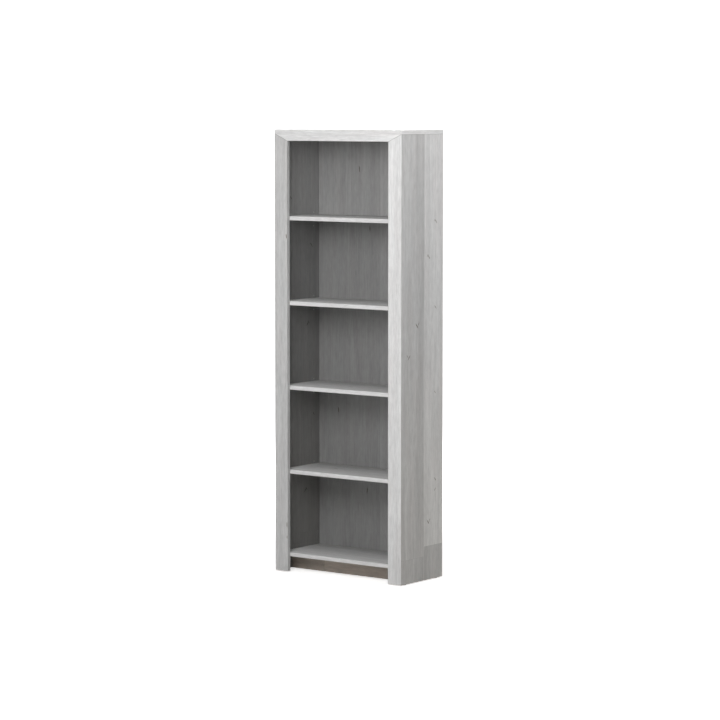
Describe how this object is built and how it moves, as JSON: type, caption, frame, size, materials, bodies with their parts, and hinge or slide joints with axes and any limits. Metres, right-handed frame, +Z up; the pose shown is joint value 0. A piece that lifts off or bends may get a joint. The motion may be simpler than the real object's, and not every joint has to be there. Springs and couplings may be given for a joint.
{
  "type": "bookcase",
  "caption": "Tall open bookcase with a wide mitred front frame, adjustable shelves on pins, a recessed plinth and a thin grooved-in back.",
  "frame": {"origin": "on the floor under the middle of the case", "axes": "+Z up, the front faces -Y, +X to the right as seen from the front"},
  "size_m": [0.71, 0.315, 2.01],
  "materials": {
    "oak_foil": "whitewashed grey oak decor foil, fine matt grain",
    "oak_band": "plastic edge band in pale grey oak",
    "back_foil": "thin fibreboard with grey oak print",
    "plinth_foil": "brown grey oak decor",
    "nickel": "nickel plated steel",
    "zinc": "cast zinc",
    "beech": "plain beech",
    "grey_plastic": "moulded light grey plastic"
  },
  "bodies": {
    "case": {"side_panel_left": "oak_foil", "side_panel_right": "oak_foil", "stile_left": "oak_foil", "stile_right": "oak_foil", "top_panel": "oak_foil", "top_rail": "oak_foil", "bottom_panel": "oak_foil", "stile_edge_band_left": "oak_band", "stile_edge_band_right": "oak_band", "rail_edge_band": "oak_band", "top_end_band_left": "oak_band", "top_end_band_right": "oak_band", "bottom_edge_band": "oak_band", "plinth": "plinth_foil", "back_panel": "back_foil", "cam_bolts": "nickel", "cam_housings": "zinc", "cam_caps": "grey_plastic", "dowels": "beech", "mitre_dowels": "beech", "back_nails": "nickel", "glides": "grey_plastic", "glide_nails": "nickel", "wall_bracket": "nickel", "wall_bracket_screws": "nickel", "plinth_brackets": "nickel", "plinth_bracket_screws": "nickel"},
    "shelf_1_board": {"shelf_1": "oak_foil", "shelf_1_edge_band": "oak_band"},
    "shelf_1_pin_left_front_body": {"shelf_1_pin_left_front": "nickel"},
    "shelf_1_pin_left_rear_body": {"shelf_1_pin_left_rear": "nickel"},
    "shelf_1_pin_right_front_body": {"shelf_1_pin_right_front": "nickel"},
    "shelf_1_pin_right_rear_body": {"shelf_1_pin_right_rear": "nickel"},
    "shelf_2_board": {"shelf_2": "oak_foil", "shelf_2_edge_band": "oak_band"},
    "shelf_2_pin_left_front_body": {"shelf_2_pin_left_front": "nickel"},
    "shelf_2_pin_left_rear_body": {"shelf_2_pin_left_rear": "nickel"},
    "shelf_2_pin_right_front_body": {"shelf_2_pin_right_front": "nickel"},
    "shelf_2_pin_right_rear_body": {"shelf_2_pin_right_rear": "nickel"},
    "shelf_3_board": {"shelf_3": "oak_foil", "shelf_3_edge_band": "oak_band"},
    "shelf_3_pin_left_front_body": {"shelf_3_pin_left_front": "nickel"},
    "shelf_3_pin_left_rear_body": {"shelf_3_pin_left_rear": "nickel"},
    "shelf_3_pin_right_front_body": {"shelf_3_pin_right_front": "nickel"},
    "shelf_3_pin_right_rear_body": {"shelf_3_pin_right_rear": "nickel"},
    "shelf_4_board": {"shelf_4": "oak_foil", "shelf_4_edge_band": "oak_band"},
    "shelf_4_pin_left_front_body": {"shelf_4_pin_left_front": "nickel"},
    "shelf_4_pin_left_rear_body": {"shelf_4_pin_left_rear": "nickel"},
    "shelf_4_pin_right_front_body": {"shelf_4_pin_right_front": "nickel"},
    "shelf_4_pin_right_rear_body": {"shelf_4_pin_right_rear": "nickel"}
  },
  "joints": [
    {"name": "shelf_1_lift", "type": "slide", "parent": "case", "child": "shelf_1_board", "axis": [0, 0, 1], "range_m": [0, 0.355]},
    {"name": "shelf_1_pull_pin_left_front", "type": "slide", "parent": "case", "child": "shelf_1_pin_left_front_body", "axis": [1, 0, 0], "range_m": [0, 0.008]},
    {"name": "shelf_1_pull_pin_left_rear", "type": "slide", "parent": "case", "child": "shelf_1_pin_left_rear_body", "axis": [1, 0, 0], "range_m": [0, 0.008]},
    {"name": "shelf_1_pull_pin_right_front", "type": "slide", "parent": "case", "child": "shelf_1_pin_right_front_body", "axis": [-1, 0, 0], "range_m": [0, 0.008]},
    {"name": "shelf_1_pull_pin_right_rear", "type": "slide", "parent": "case", "child": "shelf_1_pin_right_rear_body", "axis": [-1, 0, 0], "range_m": [0, 0.008]},
    {"name": "shelf_2_lift", "type": "slide", "parent": "case", "child": "shelf_2_board", "axis": [0, 0, 1], "range_m": [0, 0.355]},
    {"name": "shelf_2_pull_pin_left_front", "type": "slide", "parent": "case", "child": "shelf_2_pin_left_front_body", "axis": [1, 0, 0], "range_m": [0, 0.008]},
    {"name": "shelf_2_pull_pin_left_rear", "type": "slide", "parent": "case", "child": "shelf_2_pin_left_rear_body", "axis": [1, 0, 0], "range_m": [0, 0.008]},
    {"name": "shelf_2_pull_pin_right_front", "type": "slide", "parent": "case", "child": "shelf_2_pin_right_front_body", "axis": [-1, 0, 0], "range_m": [0, 0.008]},
    {"name": "shelf_2_pull_pin_right_rear", "type": "slide", "parent": "case", "child": "shelf_2_pin_right_rear_body", "axis": [-1, 0, 0], "range_m": [0, 0.008]},
    {"name": "shelf_3_lift", "type": "slide", "parent": "case", "child": "shelf_3_board", "axis": [0, 0, 1], "range_m": [0, 0.355]},
    {"name": "shelf_3_pull_pin_left_front", "type": "slide", "parent": "case", "child": "shelf_3_pin_left_front_body", "axis": [1, 0, 0], "range_m": [0, 0.008]},
    {"name": "shelf_3_pull_pin_left_rear", "type": "slide", "parent": "case", "child": "shelf_3_pin_left_rear_body", "axis": [1, 0, 0], "range_m": [0, 0.008]},
    {"name": "shelf_3_pull_pin_right_front", "type": "slide", "parent": "case", "child": "shelf_3_pin_right_front_body", "axis": [-1, 0, 0], "range_m": [0, 0.008]},
    {"name": "shelf_3_pull_pin_right_rear", "type": "slide", "parent": "case", "child": "shelf_3_pin_right_rear_body", "axis": [-1, 0, 0], "range_m": [0, 0.008]},
    {"name": "shelf_4_lift", "type": "slide", "parent": "case", "child": "shelf_4_board", "axis": [0, 0, 1], "range_m": [0, 0.335]},
    {"name": "shelf_4_pull_pin_left_front", "type": "slide", "parent": "case", "child": "shelf_4_pin_left_front_body", "axis": [1, 0, 0], "range_m": [0, 0.008]},
    {"name": "shelf_4_pull_pin_left_rear", "type": "slide", "parent": "case", "child": "shelf_4_pin_left_rear_body", "axis": [1, 0, 0], "range_m": [0, 0.008]},
    {"name": "shelf_4_pull_pin_right_front", "type": "slide", "parent": "case", "child": "shelf_4_pin_right_front_body", "axis": [-1, 0, 0], "range_m": [0, 0.008]},
    {"name": "shelf_4_pull_pin_right_rear", "type": "slide", "parent": "case", "child": "shelf_4_pin_right_rear_body", "axis": [-1, 0, 0], "range_m": [0, 0.008]}
  ]
}
